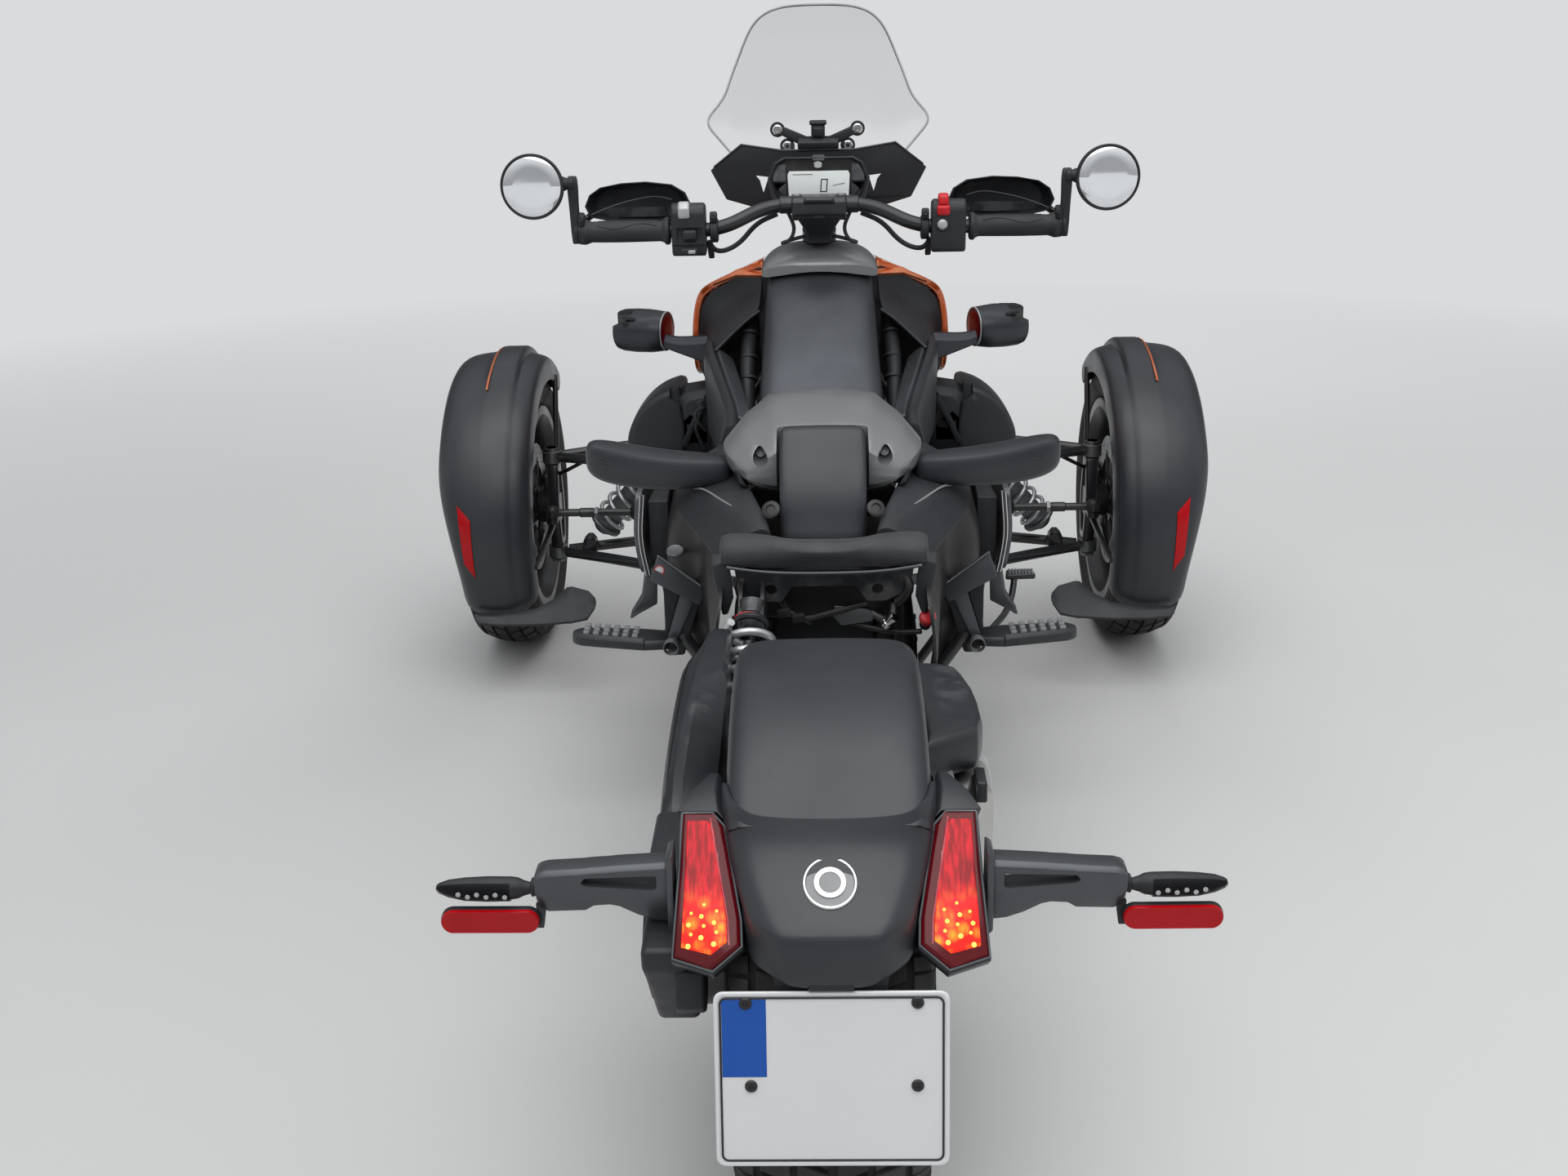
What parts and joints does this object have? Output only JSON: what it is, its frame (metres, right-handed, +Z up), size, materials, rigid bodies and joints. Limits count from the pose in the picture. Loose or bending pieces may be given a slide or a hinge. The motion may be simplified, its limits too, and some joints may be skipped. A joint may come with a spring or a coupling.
{
  "type": "reverse trike",
  "caption": "Light roadster on three wheels, two steered in front and one driven behind, with a straddled seat, handlebar, orange flank panels and a wheel-mounted plate",
  "frame": {"origin": "bottom centre of the bounding box, on the ground under the middle of the length", "axes": "+X to the rider's right, +Y forward, +Z up; X 0 is the middle plane"},
  "size_m": [1.509, 2.352, 1.2899],
  "materials": {
    "frame_black": "satin",
    "engine_grey": "matt cast",
    "alloy_black": "satin",
    "silencer_metal": "brushed",
    "panel_orange": "metallic gloss",
    "plastic_black": "fine grained satin",
    "plastic_grey": "metallic satin",
    "lamp_clear": "clear",
    "seat_black": "soft grain",
    "rubber_black": "matt",
    "tyre_black": "matt",
    "spring_silver": "satin silver",
    "mirror": "polished",
    "screen_clear": "clear",
    "lamp_red": "clear red",
    "plate_white": "gloss"
  },
  "bodies": {
    "chassis": {"frame": "frame_black", "engine_block": "engine_grey", "rear_covers": "plastic_black", "swing_arm": "alloy_black", "silencer": "silencer_metal", "side_panels": "panel_orange", "nose_cowl": "plastic_black", "headlamps": "lamp_clear", "grille": "plastic_black", "radiator": "alloy_black", "side_covers": "plastic_black", "side_struts": "plastic_grey", "console": "plastic_grey", "cap": "plastic_grey", "seat": "seat_black", "tail_cowl": "plastic_grey", "tail_tongue": "plastic_grey", "tail_sides": "plastic_black", "tail_valance": "seat_black", "grab_handles": "plastic_grey", "foot_rails": "plastic_black", "peg_brackets": "alloy_black", "footpegs": "rubber_black", "brake_pedal": "alloy_black", "side_pods": "plastic_black", "front_indicators": "plastic_grey", "suspension_arms": "frame_black", "dampers": "alloy_black", "springs": "spring_silver", "rack": "alloy_black", "rear_fender": "plastic_grey", "tail_panel": "plastic_black", "tail_lamps": "lamp_red", "indicator_arms": "plastic_black", "plate_holder": "plastic_black", "number_plate": "plate_white"},
    "handlebar": {"stem": "frame_black", "handlebar": "frame_black", "grips": "rubber_black", "switch_pods": "plastic_black", "hand_guards": "plastic_black", "mirror_arms": "plastic_black", "mirror_glass": "mirror", "instrument": "plastic_black", "wing": "plastic_black", "windscreen": "screen_clear"},
    "knuckle_left": {"knuckle_left": "alloy_black", "fender_left": "plastic_grey"},
    "tie_rod_left": {"tie_rod_left": "frame_black"},
    "wheel_front_left": {"tyre_front_left": "tyre_black", "rim_front_left": "alloy_black"},
    "knuckle_right": {"knuckle_right": "alloy_black", "fender_right": "plastic_grey"},
    "tie_rod_right": {"tie_rod_right": "frame_black"},
    "wheel_front_right": {"tyre_front_right": "tyre_black", "rim_front_right": "alloy_black"},
    "wheel_rear": {"tyre_rear": "tyre_black", "rim_rear": "alloy_black"}
  },
  "joints": [
    {"name": "steering", "type": "hinge", "parent": "chassis", "child": "handlebar", "pos_m": [0, 0.4, 0.905], "axis": [0, -0.4226, 0.9063], "range_deg": [-32, 32]},
    {"name": "kingpin_left", "type": "hinge", "parent": "chassis", "child": "knuckle_left", "pos_m": [-0.57, 0.866, 0.295], "axis": [0, 0, 1], "range_deg": [-27.5, 27.5]},
    {"name": "tie_rod_slide_left", "type": "slide", "parent": "chassis", "child": "tie_rod_left", "axis": [1, 0, 0], "range_m": [-0.053, 0.053]},
    {"name": "wheel_spin_front_left", "type": "hinge", "parent": "knuckle_left", "child": "wheel_front_left", "pos_m": [-0.654, 0.866, 0.29], "axis": [1, 0, 0], "continuous": true},
    {"name": "kingpin_right", "type": "hinge", "parent": "chassis", "child": "knuckle_right", "pos_m": [0.57, 0.866, 0.295], "axis": [0, 0, 1], "range_deg": [-27.5, 27.5]},
    {"name": "tie_rod_slide_right", "type": "slide", "parent": "chassis", "child": "tie_rod_right", "axis": [1, 0, 0], "range_m": [-0.053, 0.053]},
    {"name": "wheel_spin_front_right", "type": "hinge", "parent": "knuckle_right", "child": "wheel_front_right", "pos_m": [0.654, 0.866, 0.29], "axis": [1, 0, 0], "continuous": true},
    {"name": "wheel_spin_rear", "type": "hinge", "parent": "chassis", "child": "wheel_rear", "pos_m": [0, -0.843, 0.303], "axis": [1, 0, 0], "continuous": true}
  ],
  "couplings": [
    {"joint": "kingpin_left", "follows": "steering", "ratio": 0.85},
    {"joint": "tie_rod_slide_left", "follows": "steering", "m_per_rad": 0.0918},
    {"joint": "kingpin_right", "follows": "steering", "ratio": 0.85},
    {"joint": "tie_rod_slide_right", "follows": "steering", "m_per_rad": 0.0918}
  ]
}
